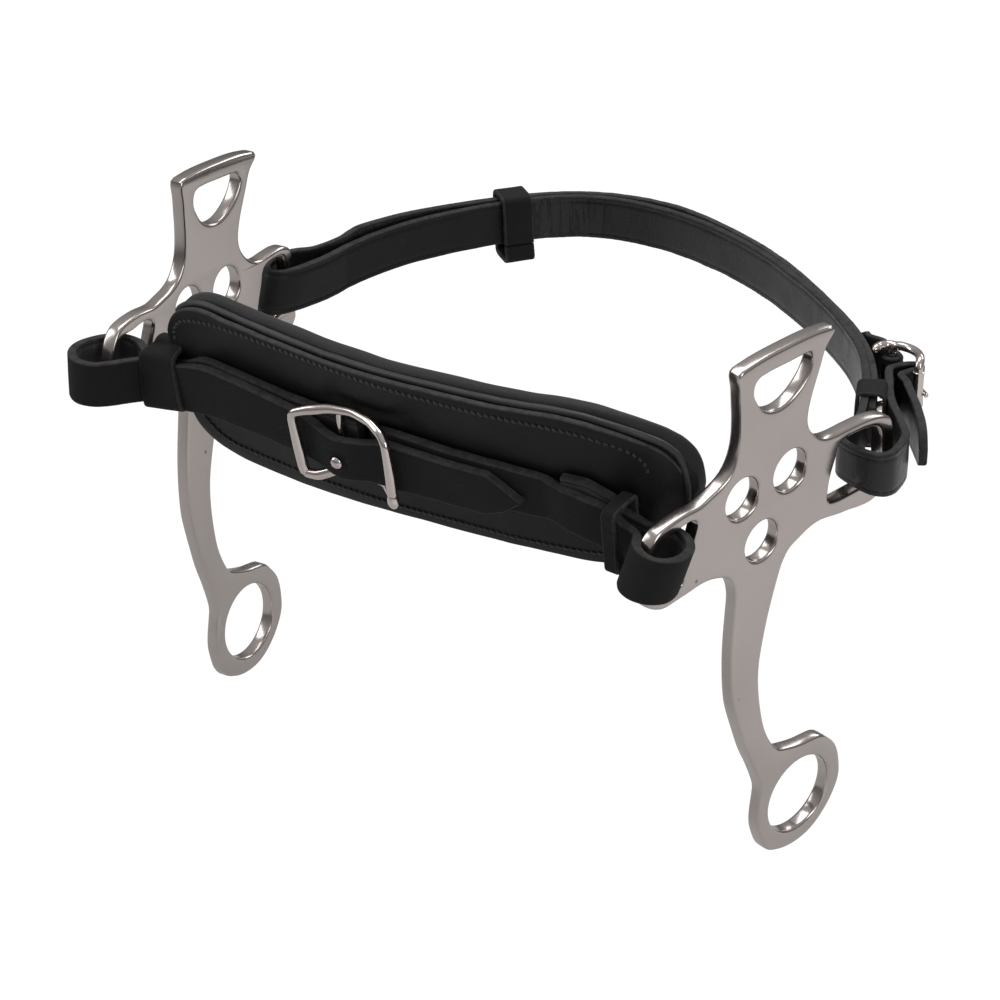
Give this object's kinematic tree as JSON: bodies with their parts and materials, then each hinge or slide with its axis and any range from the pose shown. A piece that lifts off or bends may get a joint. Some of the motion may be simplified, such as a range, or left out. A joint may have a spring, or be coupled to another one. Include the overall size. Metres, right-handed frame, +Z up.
{
  "type": "bitless hackamore",
  "caption": "Bitless bridle hackamore: steel cheek plates with head strap slot and rein ring, padded leather noseband and buckled leather curb strap.",
  "frame": {"origin": "centre of the bounding box of the whole hackamore at rest", "axes": "+X from the left cheek plate to the right one, +Y from the noseband back to the curb strap, +Z up along the cheek plates"},
  "size_m": [0.2698, 0.2406, 0.2034],
  "materials": {
    "steel": "polished",
    "leather": "satin",
    "soft_leather": "soft matte",
    "padding": "matte",
    "thread": "waxed"
  },
  "bodies": {
    "noseband": {"pad_cover": "leather", "pad_core": "padding", "pad_lining": "soft_leather", "pad_stitch_upper": "thread", "pad_stitch_lower": "thread", "nose_strap_left": "leather", "nose_strap_right": "leather", "nose_keeper_left": "leather", "nose_keeper_right": "leather", "nose_buckle_frame": "steel", "nose_buckle_stud": "steel"},
    "nose_loop_left": {"nose_loop_left": "leather"},
    "nose_loop_right": {"nose_loop_right": "leather"},
    "cheek_left": {"cheek_plate_left": "steel"},
    "cheek_right": {"cheek_plate_right": "steel"},
    "curb_loop_left": {"curb_loop_left": "leather"},
    "curb": {"curb_strap_outer": "leather", "curb_strap_inner": "leather", "curb_keeper_fixed": "leather", "curb_chape": "leather", "curb_buckle_frame": "steel", "curb_buckle_prong": "steel"},
    "curb_keeper": {"curb_keeper_sliding": "leather"}
  },
  "joints": [
    {"name": "cheek_left_pitch", "type": "hinge", "parent": "noseband", "child": "nose_loop_left", "pos_m": [-0.11776, -0.10196, 0.0454], "axis": [0.9996, 0.0063, -0.0286], "range_deg": [-15, 15], "stiffness_Nm_per_rad": 0.8},
    {"name": "cheek_right_pitch", "type": "hinge", "parent": "noseband", "child": "nose_loop_right", "pos_m": [0.10597, -0.10055, 0.03899], "axis": [0.9996, 0.0063, -0.0286], "range_deg": [-15, 15], "stiffness_Nm_per_rad": 0.8},
    {"name": "cheek_left_rack", "type": "hinge", "parent": "nose_loop_left", "child": "cheek_left", "pos_m": [-0.11776, -0.10196, 0.0454], "axis": [0, 0, 1], "range_deg": [-8, 4], "stiffness_Nm_per_rad": 0.4},
    {"name": "cheek_right_rack", "type": "hinge", "parent": "nose_loop_right", "child": "cheek_right", "pos_m": [0.10597, -0.10055, 0.03899], "axis": [0, 0, 1], "range_deg": [-8, 4], "stiffness_Nm_per_rad": 0.4},
    {"name": "curb_loop_turn", "type": "hinge", "parent": "cheek_left", "child": "curb_loop_left", "pos_m": [-0.12673, 0.00403, 0.03686], "axis": [0, 0, 1], "range_deg": [-4, 8], "stiffness_Nm_per_rad": 0.4},
    {"name": "curb_swing", "type": "hinge", "parent": "curb_loop_left", "child": "curb", "pos_m": [-0.12673, 0.00403, 0.03686], "axis": [0.9993, 0.0021, 0.0367], "range_deg": [-8, 8], "stiffness_Nm_per_rad": 0.4},
    {"name": "curb_keeper_slide", "type": "hinge", "parent": "curb", "child": "curb_keeper", "pos_m": [0.00506, 0.02312, 0.04408], "axis": [0, 0, 1], "range_deg": [-4, 4], "stiffness_Nm_per_rad": 0.2}
  ],
  "couplings": [
    {"joint": "cheek_right_pitch", "follows": "cheek_left_pitch", "ratio": 1},
    {"joint": "cheek_right_rack", "follows": "cheek_left_rack", "ratio": 1},
    {"joint": "curb_loop_turn", "follows": "cheek_left_rack", "ratio": -1}
  ]
}
